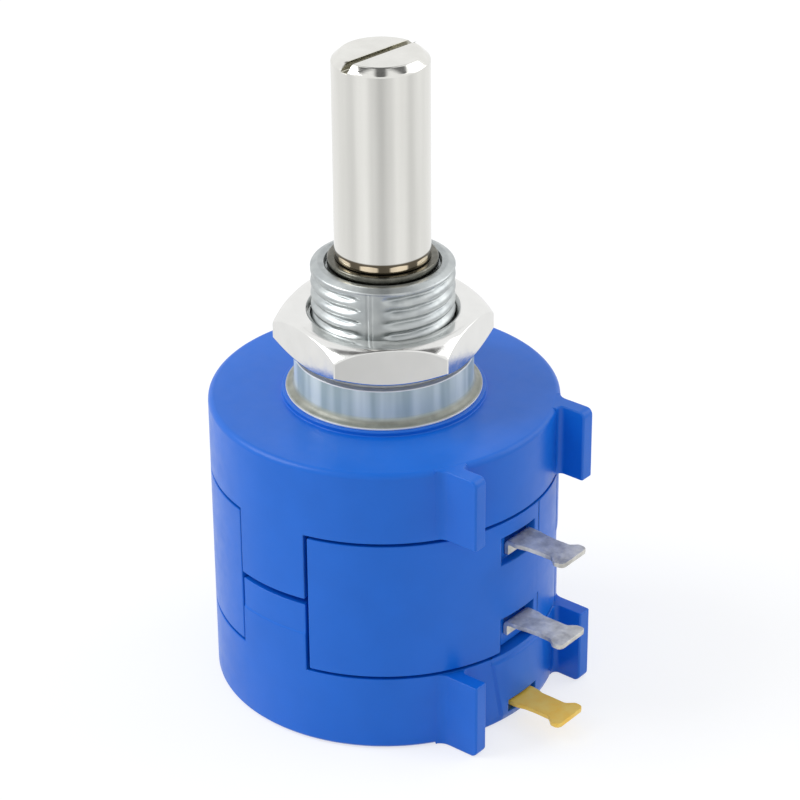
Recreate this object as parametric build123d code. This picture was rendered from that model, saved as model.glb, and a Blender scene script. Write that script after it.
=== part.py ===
from build123d import *
import math
import os

# Ten-turn wirewound potentiometer with a threaded bushing and a plain round shaft.
# Millimetres. The shaft axis is Z, the shaft points up, and the origin is the centre
# of the rear face. The three terminals point along +X.

# Blue casing
body_d = 22.2
front_cover_h = 4.85
housing_outer_h = 9.8
rear_cover_h = 5.2
rear_plate_t = 1.6
front_plate_t = 1.5
skirt_t = 1.15
spigot_t = 0.9
seam_gap = 0.2
cover_fit = 0.05
rim_round = 0.5
foot_chamfer = 0.25
boss_lip_h = 0.3
boss_lip_w = 0.25

# Snap tabs of the two covers, in three places around the casing
tab_angles = (-91, 42, 157)
tab_arc = 27
tab_side_gap = 0.2
front_tab_l = 4.6
rear_tab_l = 4.75
barb_reach = 0.35
barb_h = 0.8
barb_arc = 15
barb_gap = 0.1

# Guard fins on both covers, one pair each side of the terminals
fin_reach = 0.65
fin_t = 1.1
fin_offset = 5.45
fin_root_round = 0.9
fin_tip_round = 0.3
fin_corner_round = 0.5

# Bushing
thread_d = 9.0
thread_l = 6.2
thread_chamfer = 0.6
flange_h = 2.45
flange_top_d = 11.3
flange_base_d = 12.4
flange_base_h = 0.2
flange_foot_h = 0.5
flange_foot_hollow = 0.09
stem_d = 9.6
collar_d = 11.2
collar_h = 0.8
mouth_d = 7.46
mouth_depth = 0.4
bore_clear = 0.03

# Shaft
shaft_d = 6.0
shaft_reach = 19.85
shaft_chamfer = 0.5
core_d = 4.8
core_end_gap = 0.8
slot_w = 0.5
slot_depth = 0.5
slot_angle = 82.7
groove_depth = 0.33
groove_lift = 0.13

# Retaining ring in the shaft groove
ring_d = 6.9
ring_t = 0.6
ring_play = 0.03
ring_edge = 0.12
ring_gap = 1.6
ring_gap_angle = 170

# Mounting nut and lock washer
nut_af = 12.0
nut_h = 2.6
nut_turn = 13.7
nut_top_inset = 0.45
nut_top_drop = 0.9
nut_low_inset = 0.2
nut_low_rise = 0.7
nut_clear = 0.04
washer_t = 0.4
washer_d = 10.6
washer_tooth = 0.45
washer_teeth = 10
seat_gap = 0.02

# Helical resistance element
turns = 10
pitch = 1.0
wire_d = 0.8
wire_gap = 0.05
end_overrun = 12

# Rotor
hub_d = 12.6
hub_front_gap = 0.05
thrust_t = 0.25
thrust_d = 9.6
slip_t = 0.3
slip_in_d = 6.8
slip_out_d = 11.0
slip_space = 0.5
journal_d = 3.2
journal_l = 1.2
journal_clear = 0.03
journal_end_gap = 0.2
key_w = 2.7
key_floor_r = 4.5
strip_t = 0.25
strip_w = 1.5

# Wiper carriage
carriage_h = 3.0
carriage_arc = 40
carriage_clear = 0.12
slide_clear = 0.05
slot_end_gap = 0.2
leaf_t = 0.12
leaf_space = 0.15
brush_w = 1.2
brush_h = 2.0
wiper_w = 1.0
wiper_h = 2.2
touch_gap = 0.03
stop_arc = 10
stop_gap = 1.5
stop_gap_z = 0.4

# Terminals
lug_t = 0.35
lug_root_w = 2.2
lug_neck_w = 1.85
lug_head_w = 2.65
lug_head_l = 0.8
lug_head_round = 0.25
lug_reach = 4.05
lug_leg_h = 0.7
lug_clear = 0.05
front_lug_z = 13.2
rear_lug_z = 7.3
wiper_lug_z = 1.45
window_w = 3.9
window_floor_w = 2.9
window_depth = 0.65
window_above = 0.55
window_below = 1.05
lug_flare_start = 0.2
lug_flare_end = 1.0
lug_shoulder_l = 0.35
wiper_lug_inset = 0.35
wiper_joggle = 0.3
wiper_foot_gap = 0.6
wiper_slot_gap = 0.3
clip_w = 1.6
clip_t = 0.3
clip_setback = 0.2
finger_w = 0.9
finger_t = 0.15
finger_seat_l = 1.6
finger_rise = 0.2
finger_flat = 0.3
finger_tail = 0.6

# Depth by which joined shapes sink into each other, by which cuts run past a face, and
# the distance below which two places count as one
sink = 0.2
past = 1.0
tiny = 0.0001

# Sizes that follow from the ones above
body_r = body_d / 2
rear_seam_z = rear_cover_h
front_seam_z = rear_seam_z + housing_outer_h
body_top_z = front_seam_z + front_cover_h
front_inner_z = body_top_z - front_plate_t
skirt_r = body_r - skirt_t
spigot_r = skirt_r - cover_fit
bore_r = spigot_r - spigot_t
flange_z = body_top_z + boss_lip_h
seat_z = flange_z + flange_h
thread_top_z = seat_z + thread_l
collar_z = front_inner_z - collar_h
shaft_r = shaft_d / 2
tip_z = seat_z + shaft_reach
thrust_z = collar_z - hub_front_gap - thrust_t
hub_top_z = thrust_z - hub_front_gap
slip_z = rear_plate_t + slip_space
hub_low_z = slip_z + slip_t
hub_r = hub_d / 2
groove_z = thread_top_z - mouth_depth + groove_lift
helix_r = bore_r - wire_gap - wire_d / 2
helix_mid_z = (rear_seam_z + front_seam_z) / 2
helix_low_z = helix_mid_z - turns * pitch / 2
helix_top_z = helix_mid_z + turns * pitch / 2
element_in_r = helix_r - wire_d / 2
carriage_out_r = element_in_r - carriage_clear
key_low_z = helix_low_z - carriage_h / 2 - slot_end_gap
key_top_z = helix_top_z + carriage_h / 2 + slot_end_gap
window_floor_x = body_r - window_depth
washer_z = seat_z + seat_gap
nut_z = washer_z + washer_t + seat_gap


def box(x_low, x_high, width, z_low, z_high):
    """Block between two X and two Z values, centred on Y."""
    middle = Pos((x_low + x_high) / 2, 0, (z_low + z_high) / 2)
    return middle * Box(x_high - x_low, width, z_high - z_low)


def tube(r_in, r_out, z_low, z_high, middle=0, arc=360):
    """Ring, or a piece of one that spans an arc about a middle angle."""
    place = Pos((r_in + r_out) / 2, (z_low + z_high) / 2)
    profile = Plane.XZ * place * Rectangle(r_out - r_in, z_high - z_low)
    solid = revolve(profile, axis=Axis.Z, revolution_arc=arc)
    return Rot(0, 0, middle - arc / 2) * solid


def disc(radius, z_low, z_high):
    return Pos(0, 0, (z_low + z_high) / 2) * Cylinder(radius, z_high - z_low)


def turned(*points):
    """Solid of revolution about Z from a closed outline of (radius, height)."""
    outline = Polyline(*points, close=True)
    return revolve(Plane.XZ * make_face(outline), axis=Axis.Z)


def side_cut(points, width):
    """Outline in X and Z, extruded equally to both sides of Y = 0."""
    face = Plane.XZ * make_face(Polyline(*points, close=True))
    return extrude(face, amount=width / 2, both=True)


def fins(z_low, z_high, rounded_low):
    """Pair of guard fins with hollow roots, a rounded tip and one rounded corner."""
    tip_x = body_r + fin_reach
    root_x = skirt_r - 2 * fin_root_round
    plan = Sketch() + Circle(body_r)
    for side in (-1, 1):
        place = Pos((root_x + tip_x) / 2, side * fin_offset)
        plan += place * Rectangle(tip_x - root_x, fin_t)
    roots = plan.vertices().filter_by(lambda v: abs(math.hypot(v.X, v.Y) - body_r) < tiny)
    roots = [v for v in roots if abs(abs(v.Y) - fin_offset) < fin_t]
    plan = fillet(roots, fin_root_round)
    tips = [v for v in plan.vertices() if v.X > tip_x - tiny]
    plan = fillet(tips, fin_tip_round)
    plan -= Circle(skirt_r + skirt_t / 2)
    solid = extrude(Pos(0, 0, z_low) * plan, amount=z_high - z_low)
    side = Rectangle(2 * tip_x, z_high - z_low)
    corner_y = min if rounded_low else max
    level = corner_y(v.Y for v in side.vertices())
    corner = [v for v in side.vertices() if v.X > 0 and v.Y == level]
    side = fillet(corner, fin_corner_round)
    keep = Plane.XZ * Pos(0, (z_low + z_high) / 2) * side
    return solid & extrude(keep, amount=body_r, both=True)


def tabs(z_low, z_high, arc=tab_arc):
    """Curved tabs that carry on the skirt of a cover, at the three tab angles."""
    return [tube(skirt_r, body_r, z_low, z_high, angle, arc) for angle in tab_angles]


def barbs(z_low, z_high, reach, arc):
    """Ridges on the inside of the tabs, or the pockets that they snap into."""
    inner = skirt_r - reach
    return [tube(inner, skirt_r + sink, z_low, z_high, a, arc) for a in tab_angles]


front_tab_end_z = front_seam_z - front_tab_l
rear_tab_end_z = rear_seam_z + rear_tab_l
front_barb_z = front_tab_end_z + barb_h
rear_barb_z = rear_tab_end_z - 2 * barb_h


def lug_plan(root_x):
    """Plan of a solder lug: root, narrower neck and a wide head with round corners."""
    tip_x = body_r + lug_reach
    head_x = tip_x - lug_head_l
    neck_x = head_x - lug_shoulder_l
    half = [
        (root_x, lug_root_w / 2),
        (body_r + lug_flare_start, lug_root_w / 2),
        (body_r + lug_flare_end, lug_neck_w / 2),
        (neck_x, lug_neck_w / 2),
        (head_x, lug_head_w / 2),
        (tip_x, lug_head_w / 2),
    ]
    outline = half + [(x, -y) for x, y in reversed(half)]
    plan = make_face(Polyline(*outline, close=True))
    tips = [v for v in plan.vertices() if v.X > tip_x - tiny]
    return fillet(tips, lug_head_round)


def end_terminal(top_z):
    """Terminal of one end of the winding: lug, short leg down and foot through the wall."""
    leg_x = window_floor_x + lug_clear
    lug = extrude(Pos(0, 0, top_z - lug_t) * lug_plan(leg_x), amount=lug_t)
    foot_z = top_z - lug_t - lug_leg_h
    leg = box(leg_x, leg_x + lug_t, lug_root_w, foot_z, top_z)
    foot_x = bore_r + clip_setback + clip_t
    foot = box(foot_x, leg_x + lug_t, clip_w, foot_z, foot_z + lug_t)
    return lug + leg + foot


def end_clip(top_z, element_z):
    """Strap in the wall that joins a terminal's foot to one end of the winding."""
    foot_z = top_z - lug_t - lug_leg_h
    strap_x = bore_r + clip_setback
    low = min(foot_z, element_z - wire_d / 2)
    high = max(foot_z + lug_t, element_z + wire_d / 2)
    strap = box(strap_x, strap_x + clip_t, clip_w, low, high)
    nib_z = element_z - wire_d / 2
    nib = box(bore_r, strap_x, clip_w, nib_z, nib_z + wire_d)
    return strap + nib


def terminal_openings(top_z, element_z, open_low):
    """Bevelled window, slit for the foot and channel for the end clip."""
    foot_z = top_z - lug_t - lug_leg_h
    low = rear_seam_z - past if open_low else top_z - lug_t - window_below
    high = top_z + window_above
    face_out = Plane.YZ.offset(body_r + sink) * Pos(0, (low + high) / 2)
    face_in = Plane.YZ.offset(window_floor_x) * Pos(0, (low + high) / 2)
    wide = face_out * Rectangle(window_w, high - low)
    narrow = face_in * Rectangle(window_floor_w, high - low)
    window = loft([narrow, wide])
    slit_w = clip_w + 2 * lug_clear
    slit_low = foot_z - lug_clear
    slit = box(bore_r, body_r, slit_w, slit_low, foot_z + lug_t + lug_clear)
    nib_low = element_z - wire_d / 2 - lug_clear
    channel_low = min(slit_low, nib_low)
    channel_high = max(foot_z + lug_t, element_z + wire_d / 2) + lug_clear
    channel_x = bore_r + clip_setback + clip_t + lug_clear
    channel = box(bore_r - past, channel_x, slit_w, channel_low, channel_high)
    return [window, slit, channel]


def winding_housing():
    """Middle shell: outer band between the seams on a longer tube that both covers fit."""
    low = rear_seam_z + seam_gap
    high = front_seam_z - seam_gap
    shell = tube(bore_r, spigot_r, rear_plate_t, front_inner_z)
    band = tube(spigot_r - sink, body_r, low, high)
    gap_arc = 2 * math.degrees(tab_side_gap / body_r)
    for angle in tab_angles:
        band -= tube(spigot_r, body_r + past, low - past, high + past, angle, tab_arc + gap_arc)
    shell += band
    depth = barb_reach + barb_gap
    for z in (front_barb_z, rear_barb_z):
        for pocket in barbs(z - barb_gap, z + barb_h + barb_gap, depth, barb_arc + gap_arc):
            shell -= pocket
    cuts = terminal_openings(front_lug_z, helix_top_z, False)
    cuts += terminal_openings(rear_lug_z, helix_low_z, True)
    for cut in cuts:
        shell -= cut
    return shell


def front_cover():
    """Cap over the front end, with the boss lip, tabs, barbs, fins and travel stop."""
    cover = disc(body_r, front_seam_z, body_top_z)
    cover = fillet(cover.edges().group_by(Axis.Z)[-1], rim_round)
    cover -= disc(skirt_r, front_seam_z - past, front_inner_z)
    cover += fins(front_seam_z, body_top_z, False)
    lip_r = flange_base_d / 2 + boss_lip_w
    cover += disc(lip_r, body_top_z, flange_z)
    cover -= disc(stem_d / 2, front_inner_z - past, flange_z + past)
    for tab in tabs(front_tab_end_z, front_seam_z + sink):
        cover += tab
    for barb in barbs(front_barb_z, front_barb_z + barb_h, barb_reach, barb_arc):
        cover += barb
    stop_z = helix_top_z + carriage_h / 2 - stop_gap_z - pitch / 5
    cover += travel_stop(stop_z, front_inner_z, 1)
    return cover


def rear_cover():
    """Cap over the rear end, with the bearing hole, tabs, barbs, fins and travel stop."""
    cover = disc(body_r, 0, rear_seam_z)
    cover = chamfer(cover.edges().group_by(Axis.Z)[0], foot_chamfer)
    cover -= disc(skirt_r, rear_plate_t, rear_seam_z + past)
    cover += fins(0, rear_seam_z, True)
    hole_low = slip_z + slip_t - journal_l - journal_end_gap
    cover -= disc(journal_d / 2 + journal_clear, hole_low, rear_plate_t + past)
    for tab in tabs(rear_seam_z - sink, rear_tab_end_z):
        cover += tab
    for barb in barbs(rear_barb_z, rear_barb_z + barb_h, barb_reach, barb_arc):
        cover += barb
    stop_z = helix_low_z - carriage_h / 2 + stop_gap_z + pitch / 5
    cover += travel_stop(rear_plate_t, stop_z, -1)
    for cut in wiper_terminal_openings():
        cover -= cut
    return cover


def travel_stop(z_low, z_high, side):
    """Lug on a cover that the carriage meets in its last turn, and passes before it."""
    angle = side * (carriage_arc / 2 + stop_gap + stop_arc / 2)
    stop_in_r = hub_r + 2 * carriage_clear
    return tube(stop_in_r, carriage_out_r, z_low, z_high, angle, stop_arc)


wiper_leg_x = body_r - wiper_lug_inset - lug_t
wiper_foot_z = wiper_lug_z - lug_t - wiper_joggle
wiper_foot_x = slip_out_d / 2 + wiper_foot_gap
spring_touch_x = (slip_in_d + slip_out_d) / 4


def wiper_terminal():
    """Gold-plated rear terminal: lug, small joggle and foot in a groove of the rear plate."""
    lug = extrude(Pos(0, 0, wiper_lug_z - lug_t) * lug_plan(wiper_leg_x), amount=lug_t)
    leg = box(wiper_leg_x, wiper_leg_x + lug_t, lug_root_w, wiper_foot_z, wiper_lug_z)
    foot = box(wiper_foot_x, wiper_leg_x + lug_t, clip_w, wiper_foot_z, wiper_foot_z + lug_t)
    return lug + leg + foot


def wiper_terminal_openings():
    """Slot in the skirt for the lug and a groove in the plate for the foot."""
    slot_w_out = lug_root_w + 2 * wiper_slot_gap
    slot_low = wiper_foot_z - lug_clear
    slot = box(wiper_leg_x - lug_clear, body_r + past, slot_w_out, slot_low, rear_plate_t)
    groove_w = clip_w + 2 * lug_clear
    groove_in = wiper_foot_x - lug_clear
    groove = box(groove_in, body_r, groove_w, slot_low, rear_plate_t + past)
    relief_in = spring_touch_x - finger_tail - 2 * lug_clear
    relief_low = wiper_foot_z + lug_t - lug_clear
    relief = box(relief_in, wiper_foot_x, groove_w, relief_low, rear_plate_t + past)
    return [slot, groove, relief]


def slip_ring_spring():
    """Leaf from the rear terminal's foot up to the slip ring, bent twice."""
    foot_top = wiper_foot_z + lug_t
    start = wiper_foot_x + finger_seat_l
    rise_x = wiper_foot_x + finger_rise
    touch_x = spring_touch_x
    tail_x = touch_x - finger_tail
    top = slip_z - touch_gap
    low = foot_top + finger_t
    outline = [
        (start, foot_top),
        (rise_x, foot_top),
        (touch_x + finger_rise, top - finger_t),
        (tail_x, top - 2 * finger_t),
        (tail_x, top - finger_t),
        (touch_x, top),
        (touch_x + finger_flat, top),
        (rise_x + finger_rise / 2, low),
        (start, low),
    ]
    return side_cut(outline, finger_w)


def bushing():
    """Die-cast bushing: staked collar, stem, flared flange, thread and ring mouth."""
    bore = shaft_r + bore_clear
    base_r = flange_base_d / 2
    top_r = flange_top_d / 2
    low_z = flange_z + flange_base_h
    outline = Polyline((base_r, low_z), (base_r, flange_z), (stem_d / 2 - cover_fit, flange_z))
    stem_r = stem_d / 2 - cover_fit
    outline += Polyline(
        (stem_r, flange_z),
        (stem_r, front_inner_z),
        (collar_d / 2, front_inner_z),
        (collar_d / 2, collar_z),
        (bore, collar_z),
        (bore, thread_top_z - mouth_depth),
        (mouth_d / 2, thread_top_z - mouth_depth),
        (mouth_d / 2, thread_top_z),
        (thread_d / 2 - thread_chamfer, thread_top_z),
        (thread_d / 2, thread_top_z - thread_chamfer),
        (thread_d / 2, seat_z),
        (top_r, seat_z),
    )
    foot_z = low_z + flange_foot_h
    hollow_r = (top_r + base_r) / 2 - flange_foot_hollow
    hollow_z = (low_z + foot_z) / 2 - flange_foot_hollow
    outline += Line((top_r, seat_z), (top_r, foot_z))
    outline += ThreePointArc((top_r, foot_z), (hollow_r, hollow_z), (base_r, low_z))
    return revolve(Plane.XZ * make_face(outline), axis=Axis.Z)


def mounting_nut():
    """Hexagon nut with a plain bore and chamfered corners at both faces."""
    corner_r = nut_af / math.sqrt(3)
    hexagon = extrude(RegularPolygon(corner_r, 6), amount=nut_h)
    hexagon -= disc(thread_d / 2 + nut_clear, -past, nut_h + past)
    envelope = turned(
        (0, 0), (nut_af / 2 - nut_low_inset, 0),
        (corner_r, nut_low_rise), (corner_r, nut_h - nut_top_drop),
        (nut_af / 2 - nut_top_inset, nut_h), (0, nut_h),
    )
    return Pos(0, 0, nut_z) * Rot(0, 0, nut_turn - 30) * (hexagon & envelope)


def lock_washer():
    """Flat washer with teeth that point inwards, between the flange and the nut."""
    hole_r = thread_d / 2 + nut_clear
    ring_in_r = washer_d / 2 - washer_tooth
    plan = Circle(washer_d / 2) - Circle(ring_in_r)
    tooth_w = math.pi * hole_r / washer_teeth
    tooth = Pos((hole_r + ring_in_r) / 2, 0) * Rectangle(ring_in_r - hole_r + sink, tooth_w)
    for copy in PolarLocations(0, washer_teeth):
        plan += copy * tooth
    plan -= Circle(hole_r)
    return Pos(0, 0, washer_z) * extrude(plan, amount=washer_t)


def shaft():
    """Ground shaft with a slotted tip, a ring groove and a thinner core in the hub."""
    core_low = hub_low_z + core_end_gap
    body = disc(shaft_r, hub_top_z, tip_z)
    body = chamfer(body.edges().group_by(Axis.Z)[-1], shaft_chamfer)
    body += disc(core_d / 2, core_low, hub_top_z + sink)
    body -= tube(shaft_r - groove_depth, shaft_r + past, groove_z, groove_z + ring_t + 2 * ring_play)
    slot = Pos(0, 0, tip_z) * Box(2 * shaft_d, slot_w, 2 * slot_depth)
    return body - Rot(0, 0, slot_angle) * slot


def retaining_ring():
    """Split ring in the shaft groove, just above the floor of the bushing mouth."""
    low = groove_z + ring_play
    ring = tube(shaft_r - groove_depth + ring_play, ring_d / 2, low, low + ring_t)
    outer = ring.edges().filter_by(GeomType.CIRCLE).sort_by(lambda e: e.radius)[-2:]
    ring = chamfer(outer, ring_edge)
    split = box(0, ring_d, ring_gap, low - past, low + ring_t + past)
    return ring - Rot(0, 0, ring_gap_angle) * split


def rotor_hub():
    """Moulded drum on the shaft core, with the guide slot that carries the carriage."""
    hub = disc(hub_r, hub_low_z, hub_top_z)
    hub += disc(journal_d / 2, hub_low_z - journal_l, hub_low_z)
    hub -= disc(core_d / 2 + ring_play, hub_low_z + core_end_gap - ring_play, hub_top_z + past)
    hub -= box(key_floor_r, hub_r + past, key_w, key_low_z, key_top_z)
    strip_space = strip_w + 2 * lug_clear
    floor = key_floor_r - lug_clear
    hub -= box(floor, key_floor_r + strip_t + lug_clear, strip_space, hub_low_z - past, key_low_z + past)
    return hub


def collector_strip():
    """Brass strip on the floor of the guide slot, down to the slip ring."""
    return box(key_floor_r, key_floor_r + strip_t, strip_w, hub_low_z, key_top_z - lug_clear)


def slip_ring():
    return tube(slip_in_d / 2, slip_out_d / 2, slip_z, hub_low_z)


def wiper_carriage():
    """Curved block round the hub, with a key that slides in the hub's guide slot."""
    low = helix_mid_z - carriage_h / 2
    high = helix_mid_z + carriage_h / 2
    inner = hub_r + carriage_clear
    block = tube(inner, carriage_out_r, low, high, 0, carriage_arc)
    key_end = key_floor_r + strip_t + touch_gap + 3 * leaf_t
    block += box(key_end, inner + sink, key_w - 2 * slide_clear, low, high)
    pocket_r = carriage_out_r - 3 * leaf_t
    pocket_w = wiper_w + 2 * leaf_space
    pocket_h = wiper_h + 2 * leaf_space
    pocket = box(pocket_r, body_r, pocket_w, helix_mid_z - pocket_h / 2, helix_mid_z + pocket_h / 2)
    return block - pocket


def leaf(base_x, reach_x, height, width):
    """Thin bowed leaf: both ends at base_x and its crown at reach_x."""
    side = 1 if reach_x > base_x else -1
    crown = reach_x - side * leaf_t
    back = ThreePointArc((base_x, -height / 2), (crown, 0), (base_x, height / 2))
    face = ThreePointArc(
        (base_x + side * leaf_t, height / 2), (reach_x, 0), (base_x + side * leaf_t, -height / 2)
    )
    top = Line(back @ 1, face @ 0)
    low = Line(face @ 1, back @ 0)
    outline = make_face(back + face + top + low)
    solid = extrude(Plane.XZ * outline, amount=width / 2, both=True)
    return Pos(0, 0, helix_mid_z) * solid


def wiper_contact():
    """Leaf on the carriage whose crown rubs on the winding."""
    return leaf(carriage_out_r - 3 * leaf_t, element_in_r - touch_gap, wiper_h, wiper_w)


def collector_brush():
    """Leaf on the carriage's key whose crown rubs on the collector strip."""
    strip_face = key_floor_r + strip_t
    return leaf(strip_face + touch_gap + 3 * leaf_t, strip_face + touch_gap, brush_h, brush_w)


def resistance_element():
    """Mandrel wound with resistance wire, bent to a ten-turn helix."""
    overrun = pitch * end_overrun / 360
    low = helix_low_z - overrun
    height = turns * pitch + 2 * overrun
    path = Helix(pitch, height, helix_r, center=(0, 0, low))
    start = Plane(origin=path @ 0, x_dir=(1, 0, 0), z_dir=path % 0)
    coil = sweep(start * Rectangle(wire_d, wire_d), path=path, is_frenet=True)
    return Rot(0, 0, -end_overrun) * coil


def thrust_washer():
    return tube(shaft_r + bore_clear, thrust_d / 2, thrust_z, thrust_z + thrust_t)


parts = {
    "front_cover": front_cover(),
    "winding_housing": winding_housing(),
    "rear_cover": rear_cover(),
    "bushing": bushing(),
    "mounting_nut": mounting_nut(),
    "lock_washer": lock_washer(),
    "shaft": shaft(),
    "retaining_ring": retaining_ring(),
    "thrust_washer": thrust_washer(),
    "rotor_hub": rotor_hub(),
    "collector_strip": collector_strip(),
    "slip_ring": slip_ring(),
    "wiper_carriage": wiper_carriage(),
    "wiper_contact": wiper_contact(),
    "collector_brush": collector_brush(),
    "resistance_element": resistance_element(),
    "front_end_clip": end_clip(front_lug_z, helix_top_z),
    "rear_end_clip": end_clip(rear_lug_z, helix_low_z),
    "front_end_terminal": end_terminal(front_lug_z),
    "rear_end_terminal": end_terminal(rear_lug_z),
    "wiper_terminal": wiper_terminal(),
    "slip_ring_spring": slip_ring_spring(),
}

os.makedirs("parts", exist_ok=True)
for name, solid in parts.items():
    export_step(solid, f"parts/{name}.step")
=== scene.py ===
import math
from itertools import product

import bmesh
import bpy
from mathutils import Matrix, Vector, noise


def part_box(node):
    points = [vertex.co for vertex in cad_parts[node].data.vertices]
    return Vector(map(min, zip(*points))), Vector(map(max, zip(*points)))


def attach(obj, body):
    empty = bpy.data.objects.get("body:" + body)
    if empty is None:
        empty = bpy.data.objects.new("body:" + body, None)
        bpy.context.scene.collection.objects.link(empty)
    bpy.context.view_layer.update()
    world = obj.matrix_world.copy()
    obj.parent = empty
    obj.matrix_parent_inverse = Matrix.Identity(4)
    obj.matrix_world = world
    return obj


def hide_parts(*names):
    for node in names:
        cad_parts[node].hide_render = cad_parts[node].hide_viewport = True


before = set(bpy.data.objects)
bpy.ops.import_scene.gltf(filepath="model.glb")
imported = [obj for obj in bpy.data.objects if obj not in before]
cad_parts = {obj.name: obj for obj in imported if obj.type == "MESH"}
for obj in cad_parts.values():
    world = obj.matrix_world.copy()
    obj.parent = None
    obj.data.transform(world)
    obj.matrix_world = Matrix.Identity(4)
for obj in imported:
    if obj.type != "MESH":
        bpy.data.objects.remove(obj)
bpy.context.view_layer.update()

# Lengths are in millimetres and angles in degrees, until a mesh is finished in metres.
MM = 0.001

# Materials by the slot that they stand for
looks = {}


def span(node):
    """Lowest and highest corner of a CAD node at rest, in millimetres."""
    return [[value / MM for value in corner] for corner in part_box(node)]


# Sizes read from the frame
rear_high = span("rear_cover")[1]
front_low, front_high = span("front_cover")
bushing_low, bushing_high = span("bushing")
nut_low, nut_high = span("mounting_nut")
shaft_low, shaft_high = span("shaft")
ring_low, ring_high = span("retaining_ring")
body_r = rear_high[1]
fin_tip_x = rear_high[0]
rear_tab_z = rear_high[2]
front_tab_z = front_low[2]
flange_z = front_high[2]
flange_r = bushing_high[1]
collar_z = bushing_low[2]
thread_top_z = bushing_high[2]
shaft_r = shaft_high[0]
tip_z = shaft_high[2]
front_lug_z = span("front_end_terminal")[1][2]
rear_lug_z = span("rear_end_terminal")[1][2]
lug_tip_x = span("wiper_terminal")[1][0]

# Room when two angles are compared
tiny = 0.01

# Casing
rear_seam_z = 5.2
front_seam_z = 15.0
cap_z = 19.85
front_inner_z = 18.35
rear_plate_z = 1.6
skirt_r = 9.95
spigot_r = 9.9
bore_r = 9.0
stem_r = 4.8
lip_w = 0.25
lip_r = flange_r + lip_w
rim_round = 0.4
rim_steps = 6
foot_chamfer = 0.25
seam_gap = 0.2
edge_round = 0.07
tab_angles = (-91, 42, 157)
tab_half = 13.5
tab_side_gap = 1.2
tight_side_gap = 0.3
tab_step_z = 7.8
tab_step = 0.08
tab_step_h = 0.15

# Guard fins
fin_offset = 5.45
fin_half = 0.5
fin_outer_root = 0.9
fin_inner_root = 0.35
fin_root_depth = 0.6
fin_tip_round = 0.14
fin_corner_round = 0.45
fin_edge_round = 0.1
fin_inset = 0.02
fin_sharp_angle = 50
front_fin_past = 0.17
rear_fin_past = 0.3

# Windows and slits of the two end terminals, the crease beside them and the slot of the wiper terminal
window_edges = (-10.8, 6.25)
floor_edges = (-7.7, 5.95)
window_floor_x = 10.45
window_above = 0.55
window_below = 1.4
slit_half = 5.9
slit_above = 0.15
slit_below = 1.15
crease_angle = 9.0
crease_half = 0.35
crease_depth = 0.09
crease_above = 0.15
crease_below = 1.25
crease_fade = 0.05
slot_half = 7.2
slot_low_z = 0.75
slot_floor_r = 10.35

# Legs of the solder lugs
lug_leg_h = 1.05
lug_leg_x = window_floor_x + 0.05
wiper_leg_h = 0.65
wiper_leg_x = body_r - 0.7

# Bushing and shaft
flange_h = 2.45
seat_z = flange_z + flange_h
thread_r = 4.49
run_clear = 0.03
slot_w = 0.5
slot_depth = 0.5
slot_angle = 82.7

# The reach where most values of a noise lie
noise_reach = (0.3, 0.7)

# Grey of the floor as gloss shows it, as (degrees off the camera's side, level)
gloss_bands = ((0, 0.66), (20, 0.82), (37, 1.0), (52, 0.98), (71, 0.82), (100, 0.94), (180, 1.0))

# The photograph's camera: turned about the shaft axis, looking down, at a real distance
camera_turn = 39.2
camera_pitch = 28.517
camera_roll = 0.457
camera_distance = 186.93
look_at = (0.99, 0.0, 18.93)
focal_mm = 133.28
sensor_mm = 36
clip_m = 0.01


def linked(name, data):
    """New object in the scene for a mesh, a lamp or a camera."""
    thing = bpy.data.objects.new(name, data)
    bpy.context.scene.collection.objects.link(thing)
    return thing


def to_mesh(name, bm):
    """Mesh with what a bmesh holds, which is freed."""
    mesh = bpy.data.meshes.new(name)
    bm.to_mesh(mesh)
    bm.free()
    return mesh


def smooth(mesh):
    mesh.polygons.foreach_set("use_smooth", [True] * len(mesh.polygons))


def mesh_object(name, points, faces, body, slot, *nodes):
    """Smooth object from points in millimetres, that rides on a body and stands for CAD nodes."""
    merge = 1e-4
    bm = bmesh.new()
    verts = [bm.verts.new(Vector(point) * MM) for point in points]
    for face in faces:
        bm.faces.new([verts[i] for i in face])
    bmesh.ops.remove_doubles(bm, verts=bm.verts, dist=merge * MM)
    bmesh.ops.recalc_face_normals(bm, faces=bm.faces)
    mesh = to_mesh(name, bm)
    smooth(mesh)
    mesh.materials.append(looks[slot])
    piece = linked(name, mesh)
    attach(piece, body)
    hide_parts(*nodes)
    return piece


def soften(piece, width, angle=30, segments=2):
    """Rounds the sharp edges of a piece and keeps its flat faces flat."""
    bevel = piece.modifiers.new("edges", "BEVEL")
    bevel.width = width * MM
    bevel.segments = segments
    bevel.limit_method = "ANGLE"
    bevel.angle_limit = math.radians(angle)
    bevel.use_clamp_overlap = False
    bevel.harden_normals = True
    piece.modifiers.new("normals", "WEIGHTED_NORMAL").keep_sharp = True


def polar(r, angle, z):
    turn = math.radians(angle)
    return (r * math.cos(turn), r * math.sin(turn), z)


def nearer(angle, middle):
    """Signed angle from a middle, from -180 to 180."""
    return (angle - middle + 180) % 360 - 180


def near(a, b):
    return abs(a - b) < tiny


def tab_ends(gap=0.0):
    """Both edges of each tab, or of its recess; the first tab rests against one side."""
    ends = []
    for tab in tab_angles:
        low_gap = min(gap, tight_side_gap) if tab == tab_angles[0] else gap
        ends.append((tab - tab_half - low_gap, tab + tab_half + gap))
    return ends


def in_tab(angle, gap=0.0):
    return any(abs(nearer(angle, (low + high) / 2)) < (high - low) / 2 for low, high in tab_ends(gap))


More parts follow.
